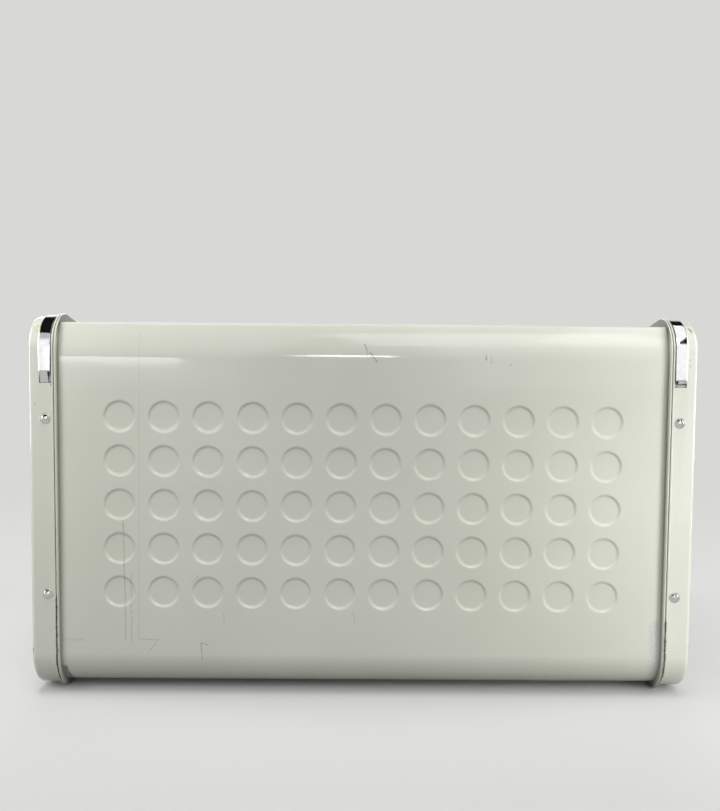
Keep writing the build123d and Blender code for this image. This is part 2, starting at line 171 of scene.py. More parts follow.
def startChain(name, points):  # a chain of edges, drawn point by point
    piece = startPiece(name)
    bpy.ops.mesh.merge(type="CENTER")
    bpy.ops.transform.translate(value=points[0])
    for start, end in zip(points, points[1:]):
        bpy.ops.mesh.extrude_vertices_move(TRANSFORM_OT_translate={"value": end - start})
    bpy.ops.mesh.select_all(action="SELECT")
    return piece


def pick(piece, test):  # selects the vertices that pass a test of their place
    mesh = bmesh.from_edit_mesh(piece.data)
    bpy.ops.mesh.select_all(action="DESELECT")
    for vertex in mesh.verts:
        vertex.select = test(vertex.co)
    mesh.select_flush(True)
    bmesh.update_edit_mesh(piece.data)


def push(move):
    bpy.ops.mesh.extrude_region_move(TRANSFORM_OT_translate={"value": move})


def turn(centre, start, end, steps=None):
    count = steps or max(2, ceil(abs(end - start) / sideShape["degreesPerStep"]))
    bpy.ops.mesh.spin(steps=count, angle=radians(end - start), center=centre, axis=(1, 0, 0))


def sweepTurns(turns, close=False):
    following = turns[1:] + (turns[:1] if close else [])
    for index, (centre, radius, start, end) in enumerate(turns):
        turn(centre, start, end)
        if index < len(following):
            ahead = following[index]
            run = sidePoint(ahead[0], ahead[1], end) - sidePoint(centre, radius, end)
            if run.length > samePoint:
                push(run)


def applyModifier(piece, kind, **values):
    modifier = piece.modifiers.new(kind, kind)
    for key, value in values.items():
        setattr(modifier, key, value)
    bpy.context.view_layer.objects.active = piece
    bpy.ops.object.modifier_apply(modifier=modifier.name)


def faceOutwards(piece, direction):  # the furthest face that way must look that way
    bpy.ops.mesh.select_all(action="SELECT")
    bpy.ops.mesh.remove_doubles(threshold=samePoint)
    bpy.ops.mesh.normals_make_consistent(inside=False)
    bpy.ops.object.mode_set(mode="OBJECT")
    aim = Vector(direction)
    facing = [f for f in piece.data.polygons if abs(f.normal.dot(aim)) > 0.5]
    furthest = max(facing, key=lambda f: f.center.dot(aim))
    if furthest.normal.dot(aim) < 0:
        bpy.ops.object.mode_set(mode="EDIT")
        bpy.ops.mesh.select_all(action="SELECT")
        bpy.ops.mesh.flip_normals()
        bpy.ops.object.mode_set(mode="OBJECT")


def finishSheet(piece, thickness, edgeRound=0, offset=-1):
    applyModifier(piece, "SOLIDIFY", thickness=thickness, offset=offset, use_even_offset=True)
    if edgeRound:
        applyModifier(piece, "BEVEL", width=edgeRound, segments=2, limit_method="ANGLE",
                      angle_limit=radians(50))
    smooth(piece)


def smooth(piece, angle=35):
    deselectAll()
    piece.select_set(True)
    bpy.context.view_layer.objects.active = piece
    bpy.ops.object.shade_smooth_by_angle(angle=radians(angle))


def cutWith(piece, cutter):
    applyModifier(piece, "BOOLEAN", operation="DIFFERENCE", object=cutter, solver="EXACT")
    bpy.data.objects.remove(cutter)


# Materials

def newMaterial(name, **sockets):
    made = bpy.data.materials.new(name)
    made.use_nodes = True
    shader = made.node_tree.nodes["Principled BSDF"]
    for socket, value in sockets.items():
        shader.inputs[socket.replace("_", " ")].default_value = value
    return made, made.node_tree, shader


def addNode(tree, kind, inputs=None, **settings):
    made = tree.nodes.new(kind)
    for key, value in settings.items():
        setattr(made, key, value)
    for socket, value in (inputs or {}).items():
        if isinstance(value, bpy.types.NodeSocket):
            tree.links.new(value, made.inputs[socket])
        else:
            made.inputs[socket].default_value = value
    return made


def colour(red, green, blue):  # an sRGB colour of 0 to 255
    parts = [part / 255 for part in (red, green, blue)]
    return tuple(p / 12.92 if p <= 0.04045 else ((p + 0.055) / 1.055) ** 2.4 for p in parts) + (1.0,)


def noise(tree, place, scale, detail, **inputs):
    inputs = {"Vector": place, "Scale": scale, "Detail": detail, **inputs}
    return addNode(tree, "ShaderNodeTexNoise", inputs).outputs


def split(tree, vector):  # into X, Y and Z
    return addNode(tree, "ShaderNodeSeparateXYZ", {0: vector}).outputs


def ranged(tree, value, start, end, low=0.0, high=1.0, kind="LINEAR"):
    inputs = {"Value": value, "From Min": start, "From Max": end, "To Min": low, "To Max": high}
    return addNode(tree, "ShaderNodeMapRange", inputs, interpolation_type=kind).outputs["Result"]


def ramped(tree, factor, under, over, start=0.0, end=1.0):
    made = addNode(tree, "ShaderNodeValToRGB", {"Fac": factor})
    for index, (position, shade) in enumerate(((start, under), (end, over))):
        made.color_ramp.elements[index].position = position
        made.color_ramp.elements[index].color = colour(*shade)
    return made.outputs["Color"]


def combined(tree, operation, first, second):  # two vectors, or a vector and its scale
    second = {"Scale": second} if operation == "SCALE" else {1: second}
    return addNode(tree, "ShaderNodeVectorMath", {0: first, **second}, operation=operation).outputs


def bumped(tree, height, depth, **inputs):
    return addNode(tree, "ShaderNodeBump", {"Height": height, "Distance": depth, **inputs}).outputs["Normal"]


enamelLook = {
    "base": (222, 223, 211),
    "cloud": (214, 216, 203),
    "cloudScale": 9.0,
    "cloudRange": (0.35, 0.7),
    # painted corner shade with some dirt: reach out of a corner, colour, and how open a corner is where it
    # is full and where it ends
    "grimeWrap": (0.0048, (160, 158, 146), 0.45, 0.93),
    "grimeEnd": (0.0075, (84, 81, 70), 0.45, 0.80),
    "grimeCap": (0.0022, (110, 107, 95), 0.25, 0.72),
    "dullSide": (84, 82, 72),       # painted shade on the beads' sides over the top rear corner
    "dullHeights": (0.221, 0.231),  # between which the painted shade comes in
    "dullFacing": (0.6, 0.95),      # and how far a face looks sideways for it
    "roughness": 0.42,
    "coat": 1.0,
    "coatRoughness": 0.07,
    "waveScale": 14.0,
    "waveDepth": 0.00025,
    "peelScale": 420.0,
    "peelDepth": 0.000006,
    "strokeEdge": (1.5, 0.4),       # of the half width, where a mark begins and where it is full
    "markFacing": (0.02, 0.2),      # marks stay on what faces back
    "fleckScale": 900.0,
    "fleckRange": (0.36, 0.56),
    "wanderScale": 160.0,
    "wander": 0.0011,
}
rust = (128, 70, 30)
soot = (38, 33, 29)
pencil = (128, 128, 120)

# Marks on the back: first and last point as (x, z), half width, colour, strength
backMarks = {
    "pencilLine": ((0.1481, 0.1109), (0.1468, 0.0353), 0.00034, pencil, 0.55),
    "shortLine": ((0.1434, 0.0765), (0.1431, 0.0341), 0.00030, pencil, 0.45),
    "longLine": ((0.1373, 0.2263), (0.1388, 0.0354), 0.00030, pencil, 0.22),
    "footScuff": ((0.1862, 0.0357), (0.1724, 0.0352), 0.0007, pencil, 0.22),
    "footLine": ((0.1375, 0.0360), (0.1269, 0.0355), 0.00035, soot, 0.30),
    "footHook": ((0.1269, 0.0355), (0.1326, 0.0278), 0.00030, soot, 0.30),
    "topScratch": ((-0.0006, 0.2201), (-0.0025, 0.2146), 0.00042, soot, 0.62),
    "topGash": ((-0.0037, 0.2159), (-0.0081, 0.2098), 0.00050, soot, 0.55),
    "topNick": ((-0.0013, 0.2134), (-0.0056, 0.2128), 0.00035, soot, 0.45),
    "redTick": ((-0.0752, 0.2146), (-0.0752, 0.2116), 0.00045, (150, 62, 62), 0.62),
    "greyTick": ((-0.0782, 0.2134), (-0.0783, 0.2097), 0.00038, pencil, 0.55),
    "lowScratch": ((0.1001, 0.0337), (0.0995, 0.0229), 0.00032, soot, 0.50),
    "lowNick": ((0.0995, 0.0337), (0.0958, 0.0325), 0.00040, soot, 0.55),
    "curl": ((0.1056, 0.0717), (0.1012, 0.0761), 0.00040, pencil, 0.45),
    "leftHair": ((0.0858, 0.0528), (0.0856, 0.0459), 0.00028, pencil, 0.5),
    "midHair": ((0.0054, 0.0540), (0.0041, 0.0464), 0.00028, pencil, 0.4),
    "farSpeck": ((-0.0900, 0.2090), (-0.0903, 0.2085), 0.00060, pencil, 0.5),
    "tealStain": ((0.1857, 0.0170), (0.1842, 0.0080), 0.0018, (30, 56, 70), 1.0),
    "blueBloom": ((-0.1838, 0.0460), (-0.1838, 0.0150), 0.0034, (176, 186, 190), 0.55),
}
rightCapMarks = {
    # painted shadow in the gap beside the chromed strip
    "stripGap": ((0.1904, 0.2170), (0.1904, 0.1940), 0.00045, (20, 18, 20), 1.0),
    # painted shade in the opened seam between the cap's lip and the bead
    "gapSoot": ((0.1888, 0.0620), (0.1888, 0.0100), 0.0005, (18, 15, 15), 1.0),
    "lipChips": ((0.1882, 0.2225), (0.1883, 0.2150), 0.00035, soot, 0.75),
    "speck": ((0.2007, 0.1828), (0.2007, 0.1821), 0.00035, soot, 0.6),
    "footChip": ((0.2044, 0.0300), (0.2044, 0.0272), 0.0007, soot, 0.85),
    "tanStain": ((0.2000, 0.2300), (0.2004, 0.2270), 0.0011, (206, 186, 140), 0.75),
}
leftCapMarks = {
    # painted shadow in the gap beside the chromed strip
    "stripGap": ((-0.1904, 0.2240), (-0.1904, 0.1940), 0.00045, (44, 16, 22), 1.0),
    "lipChip": ((-0.1878, 0.2235), (-0.1879, 0.2204), 0.00038, soot, 0.6),
    "upperChip": ((-0.1862, 0.2338), (-0.1863, 0.2333), 0.0006, soot, 0.9),
    "edgeChip": ((-0.2008, 0.2318), (-0.2016, 0.2296), 0.0006, soot, 0.8),
    "footChip": ((-0.2046, 0.0352), (-0.2046, 0.0325), 0.0006, soot, 0.7),
    "redDot": ((-0.1995, 0.2126), (-0.1995, 0.2124), 0.00045, (150, 70, 70), 0.7),
    "redDotBelow": ((-0.1996, 0.2089), (-0.1996, 0.2087), 0.00045, (150, 70, 70), 0.7),
    "rustRun": ((-0.1888, 0.0500), (-0.1888, 0.0140), 0.0008, (84, 38, 8), 1.0),
    "rustTop": ((-0.1883, 0.1380), (-0.1883, 0.1330), 0.00045, rust, 0.45),
}
rightEndMarks = {
    "slotShade": ((0.1945, 0.2005), (0.1945, 0.1975), 0.0034, (18, 17, 17), 1.0),
    # painted shade in the opened seam beside the bead
    "gapSoot": ((0.1886, 0.0640), (0.1886, 0.0080), 0.0007, (18, 15, 15), 1.0),
    "seam": ((0.1885, 0.2000), (0.1885, 0.0640), 0.0003, soot, 0.35),
}
leftEndMarks = {
    "slotShade": ((-0.1945, 0.2005), (-0.1945, 0.1975), 0.0034, (30, 20, 20), 1.0),
    # rust in the seam beside the bead
    "gapSoot": ((-0.1886, 0.0490), (-0.1886, 0.0120), 0.0008, (84, 38, 8), 1.0),
    "seam": ((-0.1885, 0.2000), (-0.1885, 0.0470), 0.0003, rust, 0.30),
}


def strokeMask(tree, place, start, end, halfWidth):  # 1 along a stroke, as seen from the back
    first, last = Vector((start[0], 0, start[1])), Vector((end[0], 0, end[1]))
    run = last - first
    flat = combined(tree, "MULTIPLY", place, (1, 0, 1))[0]
    offset = combined(tree, "SUBTRACT", flat, first)[0]
    share = combined(tree, "DOT_PRODUCT", offset, run / run.length_squared)["Value"]
    share = addNode(tree, "ShaderNodeMath", {0: share, 1: 0.0}, operation="ADD", use_clamp=True).outputs[0]
    foot = combined(tree, "SCALE", run, share)[0]
    gap = combined(tree, "DISTANCE", offset, foot)["Value"]
    outer, inner = enamelLook["strokeEdge"]
    return ranged(tree, gap, halfWidth * outer, halfWidth * inner, kind="SMOOTHSTEP")


def blended(tree, factor, under, over):
    made = addNode(tree, "ShaderNodeMix", data_type="RGBA")
    tree.links.new(factor, made.inputs["Factor"])
    for socket, value in ((made.inputs[6], under), (made.inputs[7], over)):
        if isinstance(value, bpy.types.NodeSocket):
            tree.links.new(value, socket)
        else:
            socket.default_value = value
    return made.outputs[2]


def multiplied(tree, first, second):
    return addNode(tree, "ShaderNodeMath", {0: first, 1: second}, operation="MULTIPLY").outputs[0]


def enamelMaterial(name, marks, cornerShade="grimeCap"):
    look = enamelLook
    reach, cornerShadeColour, full, gone = look[cornerShade]
    made, tree, shader = newMaterial(name, Roughness=look["roughness"], Coat_Weight=look["coat"],
                                     Coat_Roughness=look["coatRoughness"], IOR=1.5)
    coordinates = addNode(tree, "ShaderNodeTexCoord").outputs
    place = coordinates["Object"]
    clouds = noise(tree, place, look["cloudScale"], detail=4.0)["Fac"]
    shade = ramped(tree, clouds, look["cloud"], look["base"], *look["cloudRange"])

    # painted shade in the corners, with some dirt and old polish, darker where a corner is more closed
    nook = addNode(tree, "ShaderNodeAmbientOcclusion", {"Distance": reach}, samples=8).outputs["AO"]
    cornerShadeShare = ranged(tree, nook, gone, full, kind="SMOOTHSTEP")
    shade = blended(tree, cornerShadeShare, shade, colour(*cornerShadeColour))

    normals = split(tree, coordinates["Normal"])
    # painted shade on the beads' inboard sides above the body's top
    if cornerShade == "grimeEnd":
        raised = ranged(tree, split(tree, place)["Z"], *look["dullHeights"])
        sideways = addNode(tree, "ShaderNodeMath", {0: normals["X"]}, operation="ABSOLUTE").outputs[0]
        sideways = ranged(tree, sideways, *look["dullFacing"])
        shade = blended(tree, multiplied(tree, raised, sideways), shade, colour(*look["dullSide"]))

    # marks break up and stray as real scuffs do; some of them are painted shade in gaps and seams
    outside = ranged(tree, normals["Y"], *look["markFacing"])
    fleck = noise(tree, place, look["fleckScale"], detail=3.0, Roughness=0.7)["Fac"]
    outside = multiplied(tree, outside, ranged(tree, fleck, *look["fleckRange"]))
    shift = noise(tree, place, look["wanderScale"], detail=2.0)["Color"]
    shift = combined(tree, "SUBTRACT", shift, (0.5, 0.5, 0.5))[0]
    strayed = combined(tree, "ADD", place, combined(tree, "SCALE", shift, look["wander"])[0])[0]
    for start, end, halfWidth, tint, strength in marks.values():
        mask = strokeMask(tree, strayed, start, end, halfWidth)
        mask = multiplied(tree, multiplied(tree, mask, outside), strength)
        shade = blended(tree, mask, shade, colour(*tint))
    tree.links.new(shade, shader.inputs["Base Color"])

    wave = noise(tree, place, look["waveScale"], detail=1.0)["Fac"]
    peel = noise(tree, place, look["peelScale"], detail=2.0)["Fac"]
    bump = bumped(tree, peel, look["peelDepth"], Normal=bumped(tree, wave, look["waveDepth"]))
    tree.links.new(bump, shader.inputs["Normal"])
    tree.links.new(bump, shader.inputs["Coat Normal"])
    return made


metalLook = {
    "darkest": 0.86,          # share of the tint, in the scratches
    "roughness": (0.7, 1.4),  # shares of the metal's own, over the scratches
}


def metalMaterial(name, tint, roughness, scratchScale, scratchDepth=0.00002):
    made, tree, shader = newMaterial(name, Metallic=1.0)
    place = addNode(tree, "ShaderNodeTexCoord").outputs["Object"]
    grain = noise(tree, place, scratchScale, detail=6.0)["Fac"]
    shade = ramped(tree, grain, [part * metalLook["darkest"] for part in tint], tint)
    spread = ranged(tree, grain, 0.0, 1.0, *[roughness * share for share in metalLook["roughness"]])
    tree.links.new(shade, shader.inputs["Base Color"])
    tree.links.new(spread, shader.inputs["Roughness"])
    tree.links.new(bumped(tree, grain, scratchDepth), shader.inputs["Normal"])
    return made


def dullMaterial(name, dark, light, roughness, scale, depth):
    made, tree, shader = newMaterial(name, Roughness=roughness)
    place = addNode(tree, "ShaderNodeTexCoord").outputs["Object"]
    grain = noise(tree, place, scale, detail=5.0)["Fac"]
    tree.links.new(ramped(tree, grain, dark, light), shader.inputs["Base Color"])
    tree.links.new(bumped(tree, grain, depth), shader.inputs["Normal"])
    return made


finishes = {
    "enamel": enamelMaterial("whiteEnamel", {}),
    "wrapEnamel": enamelMaterial("wornWrapEnamelWithPaintedShade", backMarks, "grimeWrap"),
    "capEnamelLeft": enamelMaterial("wornLeftCapEnamelWithPaintedShade", leftCapMarks),
    "capEnamelRight": enamelMaterial("wornRightCapEnamelWithPaintedShade", rightCapMarks),
    "endEnamelLeft": enamelMaterial("wornLeftEndEnamelWithPaintedShade", leftEndMarks, "grimeEnd"),
    "endEnamelRight": enamelMaterial("wornRightEndEnamelWithPaintedShade", rightEndMarks, "grimeEnd"),
    "trim_chrome": metalMaterial("trimChrome", (224, 224, 226), 0.06, 220.0, 0.000006),
    "rivet_steel": metalMaterial("rivetSteel", (214, 212, 209), 0.14, 500.0, 0.00001),
    "pin_steel": metalMaterial("pinSteel", (178, 176, 172), 0.32, 420.0),
    "bush_brass": metalMaterial("bushBrass", (196, 158, 92), 0.3, 420.0),
    "fibre_washer": dullMaterial("fibreWasher", (88, 44, 32), (128, 70, 50), 0.75, 900.0, 0.00005),
    "buffer_rubber": dullMaterial("bufferRubber", (26, 26, 27), (44, 44, 45), 0.7, 700.0, 0.00004),
}
print("materials made")


def dress(piece, body, slotName, *nodes, finish=None):
    piece.data.materials.clear()
    piece.data.materials.append(finishes[finish or slotName])
    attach(piece, body)
    if nodes:
        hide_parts(*nodes)
    return piece


# The body's wrap with its pressed discs

wrapSheet = {
    "tab": 0.0016,          # that passes through each inner end
    "pitch": 0.0273,
    "columns": 12,
    "rows": 5,
    "mouth": 0.0102,        # radius at which the pressing starts
    "floor": 0.0082,
    "mouthEase": 0.0006,    # flat ring round the mouth
    "floorEase": 0.9,       # share of the floor's radius where it turns flat
    "depth": 0.0009,
    "wallSteps": 6,
    "segmentsPerSide": 10,  # of the square round each disc
    "lift": 0.0006,
    "skew": 0.36,
    "hemDepth": 0.008,
    "foldRadius": 0.0009,
    "thickness": 0.00078,
}
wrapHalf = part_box("body_wrap")[1].x - wrapSheet["tab"]


def discTile(backFace):  # a square of the back with one disc pressed into it
    half = wrapSheet["pitch"] / 2
    centre = Vector((0, backFace, 0))
    deselectAll()
    bpy.ops.mesh.primitive_plane_add(size=wrapSheet["pitch"], location=centre, rotation=(pi / 2, 0, 0))
    piece = bpy.context.object
    piece.name = "bodyWrap"
    bpy.ops.object.transform_apply(location=True, rotation=True)
    bpy.ops.object.mode_set(mode="EDIT")
    bpy.ops.mesh.select_mode(type="VERT")
    bpy.ops.mesh.subdivide(number_cuts=wrapSheet["segmentsPerSide"] - 1)
    pick(piece, lambda co: max(abs(co.x), abs(co.z)) < half - slack)
    bpy.ops.mesh.delete(type="VERT")
    bpy.ops.mesh.select_all(action="SELECT")
    push((0, 0, 0))
    bpy.ops.transform.tosphere(value=1)
    mesh = bmesh.from_edit_mesh(piece.data)
    radius = max((v.co - centre).length for v in mesh.verts if v.select)
    rings = [(wrapSheet["mouth"] + wrapSheet["mouthEase"], 0.0)]
    for step in range(wrapSheet["wallSteps"] + 1):
        share = step / wrapSheet["wallSteps"]
        reach = wrapSheet["mouth"] + (wrapSheet["floor"] - wrapSheet["mouth"]) * share
        rings.append((reach, wrapSheet["depth"] * share * share * (3 - 2 * share)))
    rings.append((wrapSheet["floor"] * wrapSheet["floorEase"], wrapSheet["depth"]))
    depth = 0.0
    for index, (nextRadius, nextDepth) in enumerate(rings):
        if index > 0:  # the first ring is there already
            push((0, depth - nextDepth, 0))
        scale = nextRadius / radius
        bpy.ops.transform.resize(value=(scale, 1, scale), center_override=centre)
        radius, depth = nextRadius, nextDepth
    bpy.ops.mesh.edge_face_add()
    bpy.ops.object.mode_set(mode="OBJECT")
    return piece


def bodyWrap():
    backFace = cadHigh.y - bodyInset
    piece = discTile(backFace)
    pitch, columns, rows = wrapSheet["pitch"], wrapSheet["columns"], wrapSheet["rows"]
    for count, step in ((columns, (pitch, 0, 0)), (rows, (0, 0, pitch))):
        applyModifier(piece, "ARRAY", count=count, use_relative_offset=False, use_constant_offset=True,
                      constant_offset_displace=step, use_merge_vertices=True, merge_threshold=slack)
    bpy.ops.object.mode_set(mode="EDIT")
    bpy.ops.mesh.select_all(action="SELECT")
    bpy.ops.transform.translate(value=(-(columns - 1) * pitch / 2, 0, -(rows - 1) * pitch / 2))
    bpy.ops.object.mode_set(mode="OBJECT")
    middle = Vector((0, 0, cadHigh.z / 2 + wrapSheet["lift"]))
    piece.rotation_euler = (0, radians(-wrapSheet["skew"]), 0)  # the rows rise towards the right end
    piece.location = middle
    bpy.ops.object.transform_apply(location=True, rotation=True)
    turnBack = Matrix.Rotation(radians(wrapSheet["skew"]), 3, "Y")

    def level(co):
        return turnBack @ (co - middle)

    halfX, halfZ = columns * pitch / 2, rows * pitch / 2
    edge = 0.001
    bpy.ops.object.mode_set(mode="EDIT")
    for side in (-1, 1):
        pick(piece, lambda co: side * level(co).x > halfX - edge)
        push((0, 0, 0))
        bpy.ops.transform.resize(value=(0, 1, 1), center_override=(side * wrapHalf, 0, 0))

    fold = wrapSheet["foldRadius"]
    hem = degrees(wrapSheet["hemDepth"] / frontRadius)

    pick(piece, lambda co: level(co).z > halfZ - edge)
    push((0, 0, 0))
    bpy.ops.transform.resize(value=(1, 1, 0), center_override=(0, 0, wrapTurns[0][0].z))
    sweepTurns(wrapTurns)
    run = sidePoint(pivot, frontRadius, wrapTopAngle) - sidePoint(wrapBend, bendRadius, wrapTopAngle)
    push(run)
    turn(sidePoint(pivot, frontRadius - bodyInset - fold, wrapTopAngle), wrapTopAngle, wrapTopAngle - 180,
         sideShape["foldSteps"])
    push(-run.normalized() * wrapSheet["hemDepth"])

    pick(piece, lambda co: level(co).z < edge - halfZ)
    push((0, 0, 0))
    bpy.ops.transform.resize(value=(1, 1, 0), center_override=(0, 0, rearFoot.z))
    sweepTurns([(rearFoot, footRadius, -180, -90), (frontFoot, footRadius, -90, -turnUnder),
                (pivot, frontRadius, -turnUnder, sillAngle)])
    turn(sidePoint(pivot, frontRadius - bodyInset - fold, sillAngle), sillAngle, sillAngle + 180,
         sideShape["foldSteps"])
    turn(pivot, sillAngle, sillAngle - hem)
    faceOutwards(piece, (0, 1, 0))
    finishSheet(piece, wrapSheet["thickness"])
    return dress(piece, "case", "enamel", "body_wrap", finish="wrapEnamel")


bodyWrap()
print("body wrap made")


# Inner ends, end caps and chromed strips

endShape = {
    "plateEdge": 0.012,     # where the plate's flat middle begins
    "footBend": 0.0005,
    "capWidth": 0.01625,    # end face to the inner side of the turned-up edge
    "capMiddle": 0.014,     # where the end face's flat middle begins
    "capSheet": 0.0005,
    "capRise": 0.002,       # cap flange over the body's surface
    "capEdgeRound": 0.003,
    "capEdgeDrop": 0.0001,  # turned-up edge below the bead's crest
    "capEdgeWidth": 0.0013,
    "capEdgeBend": 0.0004,
    "capGap": 0.0002,
    "beadWidth": 0.0013,
    "seatGap": 0.0002,
    "returnWidth": 0.010,
    "stripEdge": 0.0066,    # end face to the strip
    "stripWidth": 0.0077,
    "stripRise": 0.003,     # strip's face over the body's surface
    "stripSheet": 0.0005,
    "stripLap": 0.0001,     # its edges stand off the cap
    "stripInnerEase": 0.0002,
    "stripOuterEase": (0.0001, 0.0006),  # its outer edge leans inwards and down
    "stripBends": (0.0003, 0.0002),
    "stripRound": 0.00012,
    "stripLead": 0.0008,    # keeps the tail's shading flat
    "stripTail": 0.0144,    # down the back past the rounded corner
    "stripSlip": 0.003,     # the left strip hangs this much lower
    "stripFrontStop": 0.020,
    "slotLength": 0.007,
    "slotWidth": 0.0074,
    "slotShift": 0.0003,    # inwards from the strip's middle
    "slotCutDepth": 0.01,
    "tongueWidth": 0.005,
    "tongueInset": 0.0019,
    "tongueLead": 0.0006,   # flat before it dips
    "tongueStep": 0.0001,
    "tongueDip": 0.0018,
    "tongueTip": 0.003,     # flat under the cap
    "tongueMargin": 0.0022,
}
capFace = cadHigh.x
capInner = capFace - endShape["capWidth"]
beadOuter = capInner - endShape["capGap"]
panelX = beadOuter - endShape["beadWidth"]
capInset = bodyInset - endShape["capRise"]
returnInset = capInset + sideShape["sheet"] + endShape["seatGap"]
stripOuter = capFace - endShape["stripEdge"]
stripInner = stripOuter - endShape["stripWidth"]
stripInset = bodyInset - endShape["stripRise"]


def ringPoints(corners, side, firstTurn):
    centre, radius, start = firstTurn[:3]
    return [sidePoint(centre, radius - inset, start, side * x) for x, inset in roundCorners(corners)]


def sweptEnd(name, corners, side, faceX):
    piece = startChain(name, ringPoints(corners, side, endTurns[0]))
    sweepTurns(endTurns, close=True)
    bpy.ops.mesh.select_all(action="SELECT")
    bpy.ops.mesh.remove_doubles(threshold=slack)
    mesh = bmesh.from_edit_mesh(piece.data)  # the ring that lies deepest is filled with the flat plate
    bpy.ops.mesh.select_mode(type="EDGE")
    bpy.ops.mesh.select_all(action="DESELECT")
    for edge in mesh.edges:
        flat = all(abs(v.co.x - side * faceX) < samePoint for v in edge.verts)
        edge.select = edge.is_boundary and flat
    bmesh.update_edit_mesh(piece.data)
    bpy.ops.mesh.edge_face_add()
    bpy.ops.mesh.select_mode(type="VERT")
    return piece


def innerEnd(sideName, side):
    bead = endShape["beadWidth"] / 2 - slack
    corners = [
        (panelX, endShape["plateEdge"], 0),
        (panelX, 0, bead),
        (beadOuter, 0, bead),
        (beadOuter, returnInset, endShape["footBend"]),
        (beadOuter + endShape["returnWidth"], returnInset, 0),
    ]
    piece = sweptEnd("innerEnd" + sideName, corners, side, panelX)
    faceOutwards(piece, (0, 0, 1))
    finishSheet(piece, sideShape["sheet"])
    return dress(piece, "case", "enamel", "inner_end_" + sideName.lower(), finish="endEnamel" + sideName)


def stripEnds(slip):
    low = cadHigh.z - cornerRadius - endShape["stripTail"] - slip
    stop = sillAngle + degrees(endShape["stripFrontStop"] / frontRadius)
    return low, stop


def slotCutter(side, slip):
    low = stripEnds(slip)[0]
    length = endShape["slotLength"] - slip
    middle = side * ((stripInner + stripOuter) / 2 - endShape["slotShift"])
    deselectAll()
    bpy.ops.mesh.primitive_cube_add(size=1, location=(middle, cadHigh.y - capInset, low - length / 2))
    cutter = bpy.context.object
    cutter.scale = (endShape["slotWidth"], endShape["slotCutDepth"], length)
    bpy.ops.object.transform_apply(location=True, scale=True)
    return cutter


def endCap(sideName, side, slip):
    lipOuter = capInner + endShape["capEdgeWidth"]
    lipRound = endShape["capEdgeWidth"] / 2 - slack
    corners = [
        (capFace, endShape["capMiddle"], 0),
        (capFace, capInset, endShape["capEdgeRound"]),
        (lipOuter, capInset, endShape["capEdgeBend"]),
        (lipOuter, endShape["capEdgeDrop"], lipRound),
        (capInner, endShape["capEdgeDrop"], lipRound),
        (capInner, capInset + endShape["capSheet"], 0),
    ]
    piece = sweptEnd("endCap" + sideName, corners, side, capFace)
    faceOutwards(piece, (side, 0, 0))
    finishSheet(piece, endShape["capSheet"])
    cutWith(piece, slotCutter(side, slip))
    smooth(piece)
    return dress(piece, "case", "enamel", "end_cap_" + sideName.lower(), finish="capEnamel" + sideName)


def pushTongue(along, inward, length):  # down into the slot, then on under the cap
    step = endShape["tongueStep"]
    push(along * endShape["tongueLead"] + inward * step)
    push(along * (length - endShape["tongueMargin"]) + inward * endShape["tongueDip"])
    push(along * endShape["tongueTip"] + inward * step)


def trimStrip(sideName, side, slip):
    low, stop = stripEnds(slip)
    tongueInner = stripInner + endShape["tongueInset"]
    tongueOuter = tongueInner + endShape["tongueWidth"]
    standOff = capInset - endShape["stripLap"]
    outerIn, outerDown = endShape["stripOuterEase"]
    innerBend, outerBend = endShape["stripBends"]
    corners = [
        (stripInner, standOff, 0),
        (stripInner + endShape["stripInnerEase"], stripInset, innerBend),
        (tongueInner, stripInset, 0),
        (tongueOuter, stripInset, outerBend),
        (stripOuter - outerIn, stripInset + outerDown, outerBend),
        (stripOuter, standOff, 0),
    ]
    drop = Vector((0, 0, low - rearTop.z))
    piece = startChain("trimStrip" + sideName, [p + drop for p in ringPoints(corners, side, endTurns[0])])
    lead = Vector((0, 0, endShape["stripLead"]))
    for move in (lead, -drop - 2 * lead, lead):
        push(move)
    sweepTurns([endTurns[0], (pivot, frontRadius, topAngle, stop)])

    def inTongue(co):
        return tongueInner - slack < side * co.x < tongueOuter + slack

    pick(piece, lambda co: co.z < low + slack and co.y > 0 and inTongue(co))
    pushTongue(Vector((0, 0, -1)), Vector((0, -1, 0)), endShape["slotLength"] - slip)
    front = sidePoint(pivot, frontRadius - stripInset, stop)
    along = sidePoint(Vector(), 1, stop - 90)
    pick(piece, lambda co: (co - front).dot(along) > -slack and co.y < 0 and inTongue(co))
    pushTongue(along, -sidePoint(Vector(), 1, stop), endShape["slotLength"])
    faceOutwards(piece, (0, 1, 0))
    finishSheet(piece, endShape["stripSheet"], edgeRound=endShape["stripRound"])
    return dress(piece, "case", "trim_chrome", "trim_strip_" + sideName.lower())


for sideName, side, slip in (("Left", -1, endShape["stripSlip"]), ("Right", 1, 0.0)):
    innerEnd(sideName, side)
    endCap(sideName, side, slip)
    trimStrip(sideName, side, slip)
    print(sideName, "end made")


# The door

doorShape = {
    "halfWidth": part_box("door_skin")[1].x,
    "gap": 0.002,
    "lowOverlap": 0.0145,
    "topOverlap": 0.012,
    "hemDepth": 0.008,
    "foldRadius": 0.00085,
    "thickness": 0.00078,
    "edgeRound": 0.0002,
}
doorRadius = frontRadius - bodyInset - 2 * sideShape["sheet"] - doorShape["gap"]
doorLow = sillAngle - degrees(doorShape["lowOverlap"] / doorRadius)
doorHigh = wrapTopAngle + degrees(doorShape["topOverlap"] / doorRadius)


